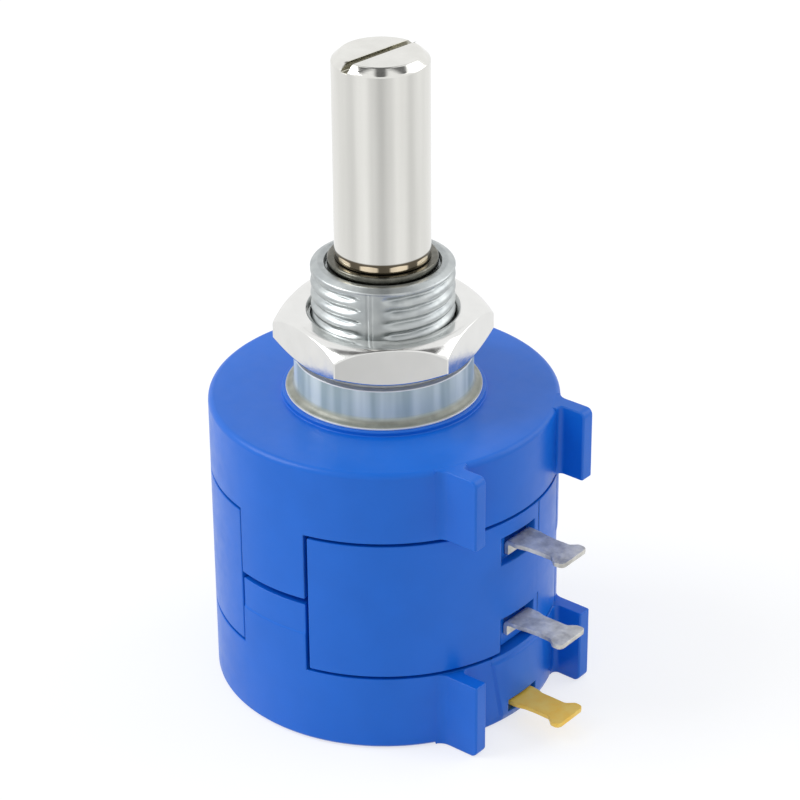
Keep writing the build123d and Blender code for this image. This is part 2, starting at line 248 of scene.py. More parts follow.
def angle_stops(special, step=2.25, room=0.9):
    """Angles all round, a step apart, with special ones kept and their neighbours given room."""
    special = sorted({round(a % 360, 6) for a in special})
    even = [i * step for i in range(round(360 / step))]
    far = [a for a in even if all(abs(nearer(a, s)) > room for s in special)]
    return sorted(special + far)


def tab_edges(gap=0.0):
    return [edge for ends in tab_ends(gap) for edge in ends]


def shell(r_stops, angles, z_stops, solid, place):
    """Closed skin of all cells of a round grid whose middle is solid(r, angle, z)."""
    count = len(angles)
    middles = [nearer(angles[j], 0) + nearer(angles[(j + 1) % count], angles[j]) / 2 for j in range(count)]
    # Steps to the cell beside each side of a cell, and to the corners of that side
    sides = (
        ((-1, 0, 0), ((0, 0, 0), (0, 1, 0), (0, 1, 1), (0, 0, 1))),
        ((1, 0, 0), ((1, 0, 0), (1, 1, 0), (1, 1, 1), (1, 0, 1))),
        ((0, -1, 0), ((0, 0, 0), (1, 0, 0), (1, 0, 1), (0, 0, 1))),
        ((0, 1, 0), ((0, 1, 0), (1, 1, 0), (1, 1, 1), (0, 1, 1))),
        ((0, 0, -1), ((0, 0, 0), (1, 0, 0), (1, 1, 0), (0, 1, 0))),
        ((0, 0, 1), ((0, 0, 1), (1, 0, 1), (1, 1, 1), (0, 1, 1))),
    )

    def full(i, j, k):
        if not (0 <= i < len(r_stops) - 1 and 0 <= k < len(z_stops) - 1):
            return False
        r = (r_stops[i] + r_stops[i + 1]) / 2
        return solid(r, middles[j % count], (z_stops[k] + z_stops[k + 1]) / 2)

    points, index, faces = [], {}, []

    def corner(i, j, k):
        key = (i, j % count, k)
        if key not in index:
            index[key] = len(points)
            points.append(place(r_stops[i], nearer(angles[key[1]], 0), z_stops[k]))
        return index[key]

    for i, j, k in product(range(len(r_stops) - 1), range(count), range(len(z_stops) - 1)):
        if not full(i, j, k):
            continue
        for beside, quad in sides:
            if not full(i + beside[0], j + beside[1], k + beside[2]):
                faces.append([corner(i + a, j + b, k + c) for a, b, c in quad])
    return points, faces


def skin(rings, wrap=True):
    """Quads between rings of equally many points; wrap joins the last ring to the first."""
    count = len(rings[0])
    points = [point for ring in rings for point in ring]
    faces = []
    for i in range(len(rings) if wrap else len(rings) - 1):
        a, b = i * count, (i + 1) % len(rings) * count
        for j in range(count):
            k = (j + 1) % count
            faces.append([a + j, a + k, b + k, b + j])
    return points, faces


def rounded(corners, steps=5):
    """Open outline of (x, y) through corners given as (x, y, radius of its rounding)."""
    outline = []
    for i, (x, y, radius) in enumerate(corners):
        here = Vector((x, y))
        if radius == 0 or i in (0, len(corners) - 1):
            outline.append((x, y))
            continue
        back = (Vector(corners[i - 1][:2]) - here).normalized()
        ahead = (Vector(corners[i + 1][:2]) - here).normalized()
        half = back.angle(ahead) / 2
        reach = radius / math.tan(half)
        middle = here + (back + ahead).normalized() * radius / math.sin(half)
        first = here + back * reach - middle
        last = here + ahead * reach - middle
        for step in range(steps + 1):
            outline.append(tuple(middle + first.slerp(last, step / steps).normalized() * radius))
    return outline


def lathe(outline, columns):
    """Rings of points for an outline of (radius, height) turned about the shaft axis."""
    step = 360 / columns
    return [[polar(r, j * step, z) for j in range(columns)] for r, z in outline]


def ease(value):
    value = min(max(value, 0), 1)
    return value * value * (3 - 2 * value)


def on_rim(r, z):
    """Moves the corner between the skirt and the cap onto the rim's rounding."""
    out, up = r - (body_r - rim_round), z - (cap_z - rim_round)
    if out < 0 or up < 0 or z > cap_z:
        return r, z
    turn = math.radians(45) * (up / rim_round if out >= up else 2 - out / rim_round)
    return body_r - rim_round * (1 - math.cos(turn)), cap_z - rim_round * (1 - math.sin(turn))


def rim_stops(end):
    return [end - rim_round * (1 - k / rim_steps) for k in range(rim_steps + 1)]


def front_cover():
    """Cap with its snap tabs, a raised lip round the bushing and two guard fins."""

    def solid(r, angle, z):
        if z > cap_z:
            return r < lip_r
        if z > front_seam_z:
            return r > skirt_r or z > front_inner_z
        return r > skirt_r and in_tab(angle)

    def place(r, angle, z):
        r, z = on_rim(r, z)
        return polar(r, angle, z)

    r_stops = [stem_r, lip_r, (lip_r + skirt_r) / 2, skirt_r] + rim_stops(body_r)
    z_stops = [front_tab_z, front_seam_z, (front_seam_z + front_inner_z) / 2, front_inner_z]
    z_stops += rim_stops(cap_z) + [flange_z]
    points, faces = shell(r_stops, angle_stops(tab_edges()), z_stops, solid, place)
    piece = mesh_object("front_cover_shell", points, faces, "housing", "blue_plastic", "front_cover")
    soften(piece, edge_round)
    low, high, reach = front_seam_z + fin_inset, cap_z - fin_inset, fin_tip_x + front_fin_past
    guard_fins("front_cover_fins", low, high, reach, False, "front_cover")


def rear_cover():
    """Cap with its snap tabs, two guard fins and a raised pad round the slot of the wiper terminal."""
    pad_left, pad_right, pad_slope, pad_slant, pad_rise, pad_z = -11.3, 13.3, 1.0, 2.2, 0.14, 4.75
    past = 0.1

    def solid(r, angle, z):
        if z > rear_seam_z:
            return r > skirt_r and in_tab(angle)
        if abs(angle) < slot_half and slot_low_z < z < rear_plate_z and r > slot_floor_r:
            return False
        return r > skirt_r or z < rear_plate_z

    def place(r, angle, z):
        if r < body_r:
            return polar(r, angle, z)
        if z == 0:
            r -= foot_chamfer
        r -= tab_step * min(max((z - tab_step_z) / tab_step_h, 0), 1)
        if pad_left - past < angle < pad_right + past and foot_chamfer < z <= pad_z:
            r += pad_rise
        if any(abs(angle - middle) <= pad_slope + past for middle in (pad_left, pad_right)):
            angle += pad_slant * (1 - 2 * z / pad_z)
        return polar(r, angle, z)

    special = tab_edges() + [-slot_half, slot_half, pad_left, pad_right]
    special += [pad_left - pad_slope, pad_right + pad_slope]
    z_stops = [0, foot_chamfer, slot_low_z, rear_plate_z, pad_z, pad_z + pad_rise, rear_seam_z]
    z_stops += [tab_step_z + tab_step_h * part for part in (0, 0.25, 0.75, 1)] + [rear_tab_z]
    r_stops = [0, skirt_r / 2, skirt_r, slot_floor_r, body_r]
    points, faces = shell(r_stops, angle_stops(special), z_stops, solid, place)
    piece = mesh_object("rear_cover_shell", points, faces, "housing", "blue_plastic", "rear_cover")
    soften(piece, edge_round)
    low, high, reach = fin_inset, rear_seam_z - fin_inset, fin_tip_x + rear_fin_past
    guard_fins("rear_cover_fins", low, high, reach, True, "rear_cover")


def winding_housing():
    """Middle shell with recesses for the tabs, two windows with slits for the lugs, and a faint crease."""
    low, high = rear_seam_z + seam_gap, front_seam_z - seam_gap
    upper_low, upper_high = front_lug_z - window_below, front_lug_z + window_above
    lower_high = rear_lug_z + window_above
    slits = [(lug - slit_below, lug + slit_above) for lug in (rear_lug_z, front_lug_z)]
    crease_stops = (lower_high + crease_above, upper_high - crease_below)

    def solid(r, angle, z):
        if r < spigot_r:
            return True
        if not low < z < high or in_tab(angle, tab_side_gap):
            return False
        if abs(angle) < slit_half and any(a < z < b for a, b in slits):
            return False
        in_window = upper_low < z < upper_high or z < lower_high
        return r < window_floor_x or not (window_edges[0] < angle < window_edges[1] and in_window)

    def place(r, angle, z):
        by_window = upper_low <= z <= upper_high or z <= lower_high
        between = window_edges[0] - tiny < angle < window_edges[1] + tiny
        if r == window_floor_x and by_window and between:
            angle = min(max(angle, floor_edges[0]), floor_edges[1])
            r /= math.cos(math.radians(angle))
        if r == body_r and near(angle, crease_angle) and not crease_stops[0] <= z <= crease_stops[1]:
            r -= crease_depth
        return polar(r, angle, z)

    special = tab_edges(tab_side_gap) + [*window_edges, *floor_edges, -slit_half, slit_half]
    special += [crease_angle - crease_half, crease_angle, crease_angle + crease_half]
    z_stops = [rear_plate_z, low, high, front_inner_z, lower_high, upper_low, upper_high]
    z_stops += [*slits[0], *slits[1]]
    z_stops += [stop + side * crease_fade for stop in crease_stops for side in (-1, 1)]
    r_stops = [bore_r, spigot_r, window_floor_x, body_r]
    points, faces = shell(r_stops, angle_stops(special), sorted(z_stops), solid, place)
    piece = mesh_object("winding_housing_shell", points, faces, "housing", "blue_plastic", "winding_housing")
    soften(piece, edge_round)


def arc(middle, radius, start, end, steps=6):
    """Points on an arc from one angle to another, both ends kept."""
    turns = [math.radians(start + (end - start) * i / steps) for i in range(steps + 1)]
    return [(middle[0] + radius * math.cos(t), middle[1] + radius * math.sin(t)) for t in turns]


def fin_outline(side, reach):
    """Plan of one guard fin that reaches out to x: hollow roots on both flanks and a rounded tip."""
    root_steps = 8
    flanks = []
    for flank in (-1, 1):
        root = fin_outer_root if flank > 0 else fin_inner_root
        middle_y = fin_offset + flank * fin_half + flank * root
        middle_x = math.sqrt((body_r + root) ** 2 - middle_y ** 2)
        meets = math.degrees(math.atan2(middle_y, middle_x))
        sunk = polar(body_r - fin_root_depth, meets, 0)[:2]
        hollow = arc((middle_x, middle_y), root, meets - 180 * flank, -90 * flank, root_steps)
        flanks.append([sunk] + hollow)
    tip_x = reach - fin_tip_round
    tip_low = arc((tip_x, fin_offset - fin_half + fin_tip_round), fin_tip_round, -90, 0)
    tip_high = arc((tip_x, fin_offset + fin_half - fin_tip_round), fin_tip_round, 0, 90)
    outline = flanks[0] + tip_low + tip_high + flanks[1][::-1]
    return [(x, side * y) for x, y in (outline if side > 0 else outline[::-1])]


def fin_end_rows(corner):
    """Rows at one end of a fin: how far from the end, how much shorter and how much slimmer."""
    radius = fin_corner_round if corner else fin_edge_round
    steps = 7
    rows = []
    for step in range(steps + 1):
        turn = math.radians(90 * step / steps)
        drop = radius * (1 - math.cos(turn))
        shorten = radius * (1 - math.sin(turn)) if corner else 0
        left = max(fin_edge_round - drop, 0)
        rows.append((drop, shorten, fin_edge_round - math.sqrt(fin_edge_round ** 2 - left ** 2)))
    return rows


def guard_fins(name, low, high, reach, rounded_low, node):
    """Pair of guard fins of a cover, as closed bodies whose roots are sunk into its skirt."""
    points, faces = [], []
    for side in (-1, 1):
        outline = fin_outline(side, reach)
        count = len(outline)
        normals = []
        for i, here in enumerate(outline):
            along = Vector(outline[(i + 1) % count]) - Vector(outline[i - 1])
            normals.append(Vector((along.y, -along.x)).normalized())
        rings = []
        for level, corner in ((low, rounded_low), (high, not rounded_low)):
            ring_set = []
            for drop, shorten, inset in fin_end_rows(corner):
                squeeze = (reach - shorten - skirt_r) / (reach - skirt_r)
                z = level + drop if level == low else level - drop
                ring = []
                for (x, y), normal in zip(outline, normals):
                    x_in = skirt_r + (x - skirt_r) * squeeze if x > skirt_r else x
                    ring.append((x_in - normal.x * inset, y - normal.y * inset, z))
                ring_set.append(ring)
            rings += ring_set if level == low else ring_set[::-1]
        start = len(points)
        more, quads = skin(rings, wrap=False)
        points += more
        faces += [[start + i for i in quad] for quad in quads]
        faces.append([start + i for i in range(count)])
        faces.append([len(points) - count + i for i in range(count)])
    piece = mesh_object(name, points, faces, "housing", "blue_plastic", node)
    piece.data.set_sharp_from_angle(angle=math.radians(fin_sharp_angle))
    piece.modifiers.new("normals", "WEIGHTED_NORMAL").keep_sharp = True


def thread_radius(angle, z, low, high):
    """Radius of the cast thread, which fades into the rim and into a parting zone with a thin ridge."""
    pitch, root_r, crest_power, fade = 0.8, 4.12, 0.75, 0.2
    flat_middle, flat_half, flat_soft, flat_r = -60, 5, 16, 4.45
    ridge_middle, ridge_half, ridge_h, line_half, line_depth = -61.5, 1.5, 0.03, 0.5, 0.06
    phase = (z - low) / pitch - angle / 360
    radius = root_r + (thread_r - root_r) * abs(math.sin(math.pi * phase)) ** crest_power
    radius = thread_r - (thread_r - radius) * ease((high - z) / fade)
    from_flat = abs(nearer(angle, flat_middle))
    flat = 1 - ease((from_flat - flat_half) / flat_soft)
    radius += (flat_r - radius) * flat
    from_ridge = abs(nearer(angle, ridge_middle))
    if abs(from_ridge - ridge_half) < line_half:
        return radius - line_depth
    return radius + (ridge_h if from_ridge < ridge_half else 0)


def bushing():
    """Die-cast bushing: flared flange, thread, ring mouth and the stem inside the cap."""
    columns, thread_steps, corner_steps = 360, 84, 10
    top_r, lip_h, cove, edge, seat_in_r = 5.65, 0.14, 0.5, 0.05, 4.2
    thread_low, rim_z, rim_r, rim_drop, crown_r = seat_z + 0.02, thread_top_z - 0.3, 4.45, 0.2, 4.05
    mouth_r, mouth_z, bore = 3.6, thread_top_z - 0.4, shaft_r + run_clear
    collar_r, collar_round, stem_in_r = 5.6, 0.1, stem_r - 0.05
    flange = rounded([
        (stem_r, flange_z, 0), (flange_r, flange_z, edge), (flange_r, flange_z + lip_h, edge),
        (top_r, flange_z + lip_h, cove), (top_r, seat_z, edge), (seat_in_r, seat_z, 0),
    ], corner_steps)
    rings = lathe(flange, columns)
    for i in range(thread_steps + 1):
        z = thread_low + (rim_z - thread_low) * i / thread_steps
        angles = [360 * j / columns for j in range(columns)]
        rings.append([polar(thread_radius(angle, z, seat_z, rim_z), angle, z) for angle in angles])
    inside = rounded([
        (thread_r, rim_z + 0.02, 0), (rim_r, thread_top_z - rim_drop, 0.15), (crown_r, thread_top_z, 0.3),
        (mouth_r, thread_top_z, 0.12), (mouth_r, mouth_z, edge), (bore, mouth_z, 0.03),
        (bore, collar_z, collar_round), (collar_r, collar_z, collar_round), (collar_r, front_inner_z, edge),
        (stem_in_r, front_inner_z, 0), (stem_in_r, flange_z, 0),
    ])
    rings += lathe(inside, columns)
    mesh_object("bushing_cast", *skin(rings), "housing", "bushing_metal", "bushing")


def mounting_nut():
    """Hexagon nut whose corners run out into a curved chamfer on top and a cone below."""
    flats, turn, columns, crown_steps = 6.0, 13.7, 240, 6
    top_r, top_drop, low_r, low_rise = 5.55, 0.9, 5.8, 0.7
    bore, bore_chamfer = 4.54, 0.3
    low, high = nut_low[2], nut_high[2]
    corner_r = flats / math.cos(math.radians(30))

    def top_z(r):
        return high - top_drop * ((r - top_r) / (corner_r - top_r)) ** 2

    profiles = []
    for j in range(columns):
        angle = 360 * j / columns
        from_flat = abs(nearer(6 * angle, 0)) / 6
        across = flats / math.cos(math.radians(from_flat))
        rise = low_rise * (across - low_r) / (corner_r - low_r)
        crown = [across + (top_r - across) * step / crown_steps for step in range(crown_steps + 1)]
        profile = [(bore, low + bore_chamfer), (bore + bore_chamfer, low), (low_r, low), (across, low + rise)]
        profile += [(r, top_z(r)) for r in crown]
        profile += [(bore + bore_chamfer, high), (bore, high - bore_chamfer)]
        profiles.append([polar(r, angle + turn, z) for r, z in profile])
    rings = list(zip(*profiles))
    piece = mesh_object("mounting_nut_hexagon", *skin(rings), "nut", "nut_metal", "mounting_nut")
    soften(piece, 0.08, 16, 3)


def lock_washer():
    """Washer with inner teeth."""
    columns, teeth, tooth_h, tooth_slope, tooth_gap, root_r = 240, 10, 0.36, 6, 0.7, 4.95
    low, high = span("lock_washer")
    outer = high[0]
    profiles = []
    for j in range(columns):
        to_tooth = 0.5 - abs(j * teeth / columns % 1 - 0.5)
        inner = root_r - tooth_h * ease(to_tooth * tooth_slope - tooth_gap)
        profile = [(inner, low[2]), (outer, low[2]), (outer, high[2]), (inner, high[2])]
        profiles.append([polar(r, 360 * j / columns, z) for r, z in profile])
    rings = list(zip(*profiles))
    piece = mesh_object("lock_washer_toothed", *skin(rings), "washer", "washer_metal", "lock_washer")
    soften(piece, 0.04, 40)


def shaft():
    """Ground shaft with a screwdriver slot, a ring groove and the thinner core in the hub."""
    columns, core_low, core_top, core_r, core_chamfer = 192, shaft_low[2], 17.2, 2.4, 0.2
    groove_r, groove_room, groove_round = shaft_r - 0.33, 0.03, 0.03
    groove_low, groove_high = ring_low[2] - groove_room, ring_high[2] + groove_room
    chamfer_in, chamfer_down, face_in = 0.48, 0.42, 0.7
    outline = rounded([
        (core_r - core_chamfer, core_low, 0), (core_r, core_low + core_chamfer, 0), (core_r, core_top, 0),
        (shaft_r, core_top, 0.1), (shaft_r, groove_low, groove_round), (groove_r, groove_low, groove_round),
        (groove_r, groove_high, groove_round), (shaft_r, groove_high, 0.05),
        (shaft_r, tip_z - chamfer_down, 0.25), (shaft_r - chamfer_in, tip_z, 0.2),
        (shaft_r - face_in, tip_z, 0),
    ])
    points, faces = skin(lathe(outline, columns), wrap=False)
    faces.append(list(range(columns)))
    faces.append(list(range(len(points) - columns, len(points))))
    piece = mesh_object("shaft_ground", points, faces, "rotor", "shaft_metal", "shaft")
    cut_slot(piece)
    soften(piece, 0.03, 50)


def cut_slot(piece):
    """Cuts the screwdriver slot into the shaft's tip with a bar, which is then removed."""
    bar_l = 8
    bm = bmesh.new()
    bmesh.ops.create_cube(bm, size=1)
    bmesh.ops.scale(bm, verts=bm.verts, vec=(bar_l * MM, slot_w * MM, 2 * slot_depth * MM))
    turn = Matrix.Rotation(math.radians(slot_angle), 4, "Z")
    bmesh.ops.transform(bm, verts=bm.verts, matrix=Matrix.Translation((0, 0, tip_z * MM)) @ turn)
    bar = linked("slot_cutter", to_mesh("slot_cutter", bm))
    cut = piece.modifiers.new("slot", "BOOLEAN")
    cut.object = bar
    cut.solver = "EXACT"
    bpy.context.view_layer.update()
    evaluated = piece.evaluated_get(bpy.context.evaluated_depsgraph_get())
    mesh = bpy.data.meshes.new_from_object(evaluated)
    piece.modifiers.clear()
    piece.data = mesh
    smooth(mesh)
    bpy.data.objects.remove(bar)


def retaining_ring():
    """Split ring with rounded outer edges."""
    gap_angle, gap_half, columns = 170, 13.5, 121
    inner, outer, low, high = shaft_r - 0.3, ring_high[1], ring_low[2], ring_high[2]
    section = rounded([
        (inner, low, 0), (outer, low, 0.12), (outer, high, 0.14), (inner, high, 0.03), (inner, low + 0.05, 0),
    ])
    sweep = 360 - 2 * gap_half
    rings = []
    for j in range(columns):
        angle = gap_angle + gap_half + sweep * j / (columns - 1)
        rings.append([polar(r, angle, z) for r, z in section])
    points, faces = skin(rings, wrap=False)
    faces.append(list(range(len(section))))
    faces.append([len(points) - 1 - i for i in range(len(section))])
    piece = mesh_object("retaining_ring_split", points, faces, "rotor", "ring_metal", "retaining_ring")
    soften(piece, 0.03, 50)


def terminal(node, slot, leg_x, leg_h, wander):
    """Stamped solder lug: a short leg bent over into a strip with a neck and a wide head."""
    thick, bend_r, bend_steps, aside = 0.3, 0.28, 4, -0.15
    leg_half, bend_half, head_l = 1.05, 1.08, 0.8
    burr, burr_pace, side_pace = 0.06, 1.7, 3.1
    top_z = span(node)[1][2]
    middle_z = top_z - thick / 2
    turn_x = leg_x + thick / 2 + bend_r
    stations = [(leg_x + thick / 2, top_z - leg_h, 90.0, leg_half)]
    for step in range(bend_steps + 1):
        angle = 90 - 90 * step / bend_steps
        turn = math.radians(angle)
        x, z = turn_x - bend_r * math.sin(turn), middle_z - bend_r + bend_r * math.cos(turn)
        stations.append((x, z, angle, bend_half))
    head_x = lug_tip_x - head_l
    widths = [
        (body_r + 0.25, 1.1), (body_r + 0.6, 1.06), (body_r + 1.1, 0.95), (body_r + 1.9, 0.925),
        (head_x - 0.45, 0.925), (head_x - 0.3, 0.96), (head_x - 0.1, 1.12), (head_x + 0.1, 1.29),
        (head_x + 0.22, 1.325), (lug_tip_x - 0.28, 1.325), (lug_tip_x - 0.12, 1.25), (lug_tip_x, 1.02),
    ]
    stations += [(x, middle_z, 0.0, half) for x, half in widths]
    rings = []
    for x, z, angle, half in stations:
        lean = Vector((math.sin(math.radians(angle)), math.cos(math.radians(angle))))
        edges = []
        for side in (-1, 1):
            rough = noise.noise(Vector((x * burr_pace, side * side_pace, wander))) * burr
            edges.append(aside + side * half + rough)
        left, right = edges
        section = [(left, -thick / 2), (right, -thick / 2), (right, thick / 2), (left, thick / 2)]
        rings.append([(x - lean.x * up, y, z + lean.y * up) for y, up in section])
    points, faces = skin(rings, wrap=False)
    faces.append([0, 1, 2, 3])
    faces.append([len(points) - 1 - i for i in range(4)])
    piece = mesh_object(node + "_lug", points, faces, "housing", slot, node)
    soften(piece, 0.03, 50)


def maths(tree, operation, *values):
    """Result of a sum on outputs or plain numbers."""
    node = tree.nodes.new("ShaderNodeMath")
    node.operation = operation
    for value, target in zip(values, node.inputs):
        if isinstance(value, (int, float)):
            target.default_value = value
        else:
            tree.links.new(value, target)
    return node.outputs[0]


def mapped(tree, value, start, end, first, last):
    """Value that goes from first to last as another goes from start to end."""
    node = tree.nodes.new("ShaderNodeMapRange")
    for name, number in (("From Min", start), ("From Max", end), ("To Min", first), ("To Max", last)):
        node.inputs[name].default_value = number
    tree.links.new(value, node.inputs["Value"])
    return node.outputs["Result"]


def split(tree, vector):
    """The X, Y and Z outputs of a vector."""
    node = tree.nodes.new("ShaderNodeSeparateXYZ")
    tree.links.new(vector, node.inputs["Vector"])
    return node.outputs


def turned(tree, kind, angle):
    """Texture coordinates of a kind, turned about the shaft axis."""
    place = tree.nodes.new("ShaderNodeTexCoord")
    turn = tree.nodes.new("ShaderNodeMapping")
    turn.inputs["Rotation"].default_value = (0, 0, math.radians(angle))
    tree.links.new(place.outputs[kind], turn.inputs["Vector"])
    return turn.outputs["Vector"]


def part_of_turn(tree, vector):
    """Value from 0 to 1 round the shaft axis."""
    node = tree.nodes.new("ShaderNodeTexGradient")
    node.gradient_type = "RADIAL"
    tree.links.new(vector, node.inputs["Vector"])
    return node.outputs["Fac"]


class Finish:
    """A node material, with the helpers that its patterns share."""

    def __init__(self, slot, metallic, roughness):
        self.material = bpy.data.materials.new(slot + "_look")
        looks[slot] = self.material
        self.material.use_nodes = True
        self.tree = self.material.node_tree
        self.shader = self.tree.nodes["Principled BSDF"]
        self.shader.inputs["Metallic"].default_value = metallic
        self.shader.inputs["Roughness"].default_value = roughness
        self.place = self.tree.nodes.new("ShaderNodeTexCoord").outputs["Object"]

    def link(self, output, target):
        self.tree.links.new(output, target)

    def noise(self, size_mm, detail=3.0, stretch=(1, 1, 1)):
        """Noise whose grain is about size_mm across; stretch makes it longer along an axis."""
        mapping = self.tree.nodes.new("ShaderNodeMapping")
        mapping.inputs["Scale"].default_value = [1 / MM / size_mm / s for s in stretch]
        texture = self.tree.nodes.new("ShaderNodeTexNoise")
        texture.inputs["Scale"].default_value = 1.0
        texture.inputs["Detail"].default_value = detail
        self.link(self.place, mapping.inputs["Vector"])
        self.link(mapping.outputs["Vector"], texture.inputs["Vector"])
        return texture.outputs["Fac"]

    def ramp(self, value, low, high, first, last):
        """Colour that goes from first to last as the value goes from low to high."""
        node = self.tree.nodes.new("ShaderNodeValToRGB")
        stops = node.color_ramp.elements
        for stop, where, colour in ((stops[0], low, first), (stops[1], high, last)):
            stop.position = where
            stop.color = (*colour, 1)
        self.link(value, node.inputs["Fac"])
        return node.outputs["Color"]

    def mottle(self, value, first, last):
        """Colour that goes from first to last over the middle of a noise's reach."""
        return self.ramp(value, *noise_reach, first, last)

    def mix(self, factor, first, second):
        node = self.tree.nodes.new("ShaderNodeMix")
        node.data_type = "RGBA"
        self.link(factor, node.inputs["Factor"])
        self.link(first, node.inputs["A"])
        self.link(second, node.inputs["B"])
        return node.outputs["Result"]

    def spread(self, value, low, high):
        """The value, mapped from the middle of a noise's reach onto low to high."""
        return mapped(self.tree, value, *noise_reach, low, high)

    def above(self, z, soft, low, high):
        """Value that goes from low to high as the height passes z, in millimetres."""
        height = split(self.tree, self.place)["Z"]
        return mapped(self.tree, height, (z - soft) * MM, (z + soft) * MM, low, high)

    def bump(self, value, depth_mm, strength):
        node = self.tree.nodes.new("ShaderNodeBump")
        node.inputs["Strength"].default_value = strength
        node.inputs["Distance"].default_value = depth_mm * MM
        self.link(value, node.inputs["Height"])
        self.link(node.outputs["Normal"], self.shader.inputs["Normal"])

    def colour(self, output):
        self.link(output, self.shader.inputs["Base Color"])

    def rough(self, output):
        self.link(output, self.shader.inputs["Roughness"])


def plain_finish(slot, first, last, size_mm, metallic, rough_low, rough_high, depth_mm):
    """Two close colours in a fine noise, uneven roughness and a slight grain."""
    finish = Finish(slot, metallic, rough_low)
    finish.colour(finish.mottle(finish.noise(size_mm), first, last))
    finish.rough(finish.spread(finish.noise(size_mm / 3), rough_low, rough_high))
    finish.bump(finish.noise(size_mm / 12, 2.0), depth_mm, 0.4)
    return finish


def blue_finish():
    """Moulded plastic with a low, soft gloss."""
    dark, light = (0.003, 0.138, 0.66), (0.004, 0.148, 0.70)
    finish = plain_finish("blue_plastic", dark, light, 2.5, 0.0, 0.30, 0.38, 0.004)
    finish.shader.inputs["IOR"].default_value = 1.42


def bushing_finish():
    """Plated zinc: bright on the thread, duller on the flange with streaks that are partly grain and partly
    painted reflection, painted shade in its cove, and a painted highlight on its lip and top edge.
    """
    flange_metallic = 0.22
    finish = Finish("bushing_metal", 1.0, 0.3)
    grain = finish.noise(0.9)
    # Streaks down the flange wall: partly grain, partly painted reflection bands of the surroundings.
    streaks = finish.noise(1.3, 2.0, (1, 1, 14))
    thread = finish.mottle(grain, (0.42, 0.45, 0.46), (0.54, 0.57, 0.57))
    flange = finish.ramp(streaks, 0.38, 0.62, (0.46, 0.56, 0.52), (0.80, 0.88, 0.82))
    # Painted shade: dark olive in the cove at the flange's foot, for the shade in the hollow.
    cove = finish.mottle(grain, (0.24, 0.25, 0.21), (0.36, 0.37, 0.32))
    # Painted highlight: a bright colour on the lip, used again below along the flange's top edge.
    lip_highlight = finish.mottle(grain, (0.86, 0.87, 0.85), (0.92, 0.93, 0.91))
    foot_highlight_and_shade = finish.mix(finish.above(flange_z + 0.13, 0.02, 0, 1), lip_highlight, cove)
    wall = finish.mix(finish.above(flange_z + 0.5, 0.15, 0, 1), foot_highlight_and_shade, flange)
    # Painted highlight along the flange's top edge, under the thread.
    wall = finish.mix(finish.above(seat_z - 0.08, 0.02, 0, 1), wall, lip_highlight)
    finish.colour(finish.mix(finish.above(seat_z, 0.05, 0, 1), wall, thread))
    finish.link(finish.above(seat_z, 0.05, flange_metallic, 1.0), finish.shader.inputs["Metallic"])
    finish.rough(finish.spread(finish.noise(0.3), 0.3, 0.42))
    finish.bump(finish.noise(0.12, 2.0), 0.01, 0.15)


def shaft_finish():
    """Ground steel with fine lines and soft streaks, painted shade in the slot, and a painted reflection at
    the ring: a dark band with light dashes.
    """
    band_z, dash_low, dash_high, dashes, dash_shift = 0.66, 0.14, 0.5, 10, 0.364
    finish = Finish("shaft_metal", 1.0, 0.2)
    tree, band_foot = finish.tree, ring_high[2]
    lines = finish.noise(0.05, 2.0, (60, 60, 1))
    streaks = finish.noise(1.1, 3.0, (1, 1, 14))
    steel = finish.mottle(streaks, (0.74, 0.735, 0.70), (0.81, 0.805, 0.77))
    # Painted reflection of the ring and the mouth: a dark band above the ring, broken by ten light dashes
    # round the shaft.
    turns = maths(tree, "ADD", maths(tree, "MULTIPLY", part_of_turn(tree, finish.place), dashes), dash_shift)
    over = finish.above(band_foot + dash_low, 0.05, 0, 1)
    under = finish.above(band_foot + dash_high, 0.05, 1, 0)
    reflection_dash = maths(tree, "MULTIPLY", maths(tree, "PINGPONG", turns, 0.5), maths(tree, "MULTIPLY", over, under))
    reflection_band = finish.ramp(reflection_dash, 0.16, 0.24, (0.12, 0.10, 0.07), (0.80, 0.68, 0.50))
    outside = finish.mix(finish.above(band_foot + band_z, 0.04, 0, 1), reflection_band, steel)
    # Painted shade: the slot's walls and floor are coloured darker for the shade inside the slot.
    slot_shade = finish.mottle(streaks, (0.47, 0.46, 0.41), (0.60, 0.59, 0.53))
    finish.colour(finish.mix(in_slot(finish), outside, slot_shade))
    finish.rough(finish.spread(lines, 0.07, 0.16))
    finish.bump(lines, 0.0015, 0.5)


def in_slot(finish):
    """1 on the walls and the floor of the shaft's slot."""
    side_room, floor_room = 0.04, 0.02
    tree = finish.tree
    across = split(tree, turned(tree, "Object", -slot_angle))["Y"]
    between = maths(tree, "LESS_THAN", maths(tree, "ABSOLUTE", across), (slot_w / 2 + side_room) * MM)
    over = finish.above(tip_z - slot_depth - floor_room, 0.01, 0, 1)
    return maths(tree, "MULTIPLY", between, over)


def tinned_finish():
    """Dipped tin: mottled grey, darker patches and a soft uneven skin."""
    finish = Finish("tinned_metal", 0.7, 0.4)
    patches = finish.noise(0.9, 4.0)
    mottle = finish.noise(0.22, 3.0)
    dark = finish.ramp(patches, 0.35, 0.65, (0.34, 0.34, 0.33), (0.68, 0.68, 0.65))
    light = finish.ramp(patches, 0.35, 0.65, (0.68, 0.67, 0.63), (0.92, 0.90, 0.83))
    finish.colour(finish.mix(mottle, dark, light))
    finish.rough(finish.spread(mottle, 0.36, 0.58))
    finish.bump(patches, 0.05, 0.5)


def winding_finish():
    """Fine resistance wire wound round the mandrel."""
    finish = Finish("winding", 0.8, 0.35)
    turns = finish.noise(0.06, 1.0, (1, 1, 20))
    finish.colour(finish.ramp(turns, 0.35, 0.65, (0.22, 0.17, 0.13), (0.5, 0.42, 0.33)))
    finish.bump(turns, 0.02, 0.8)


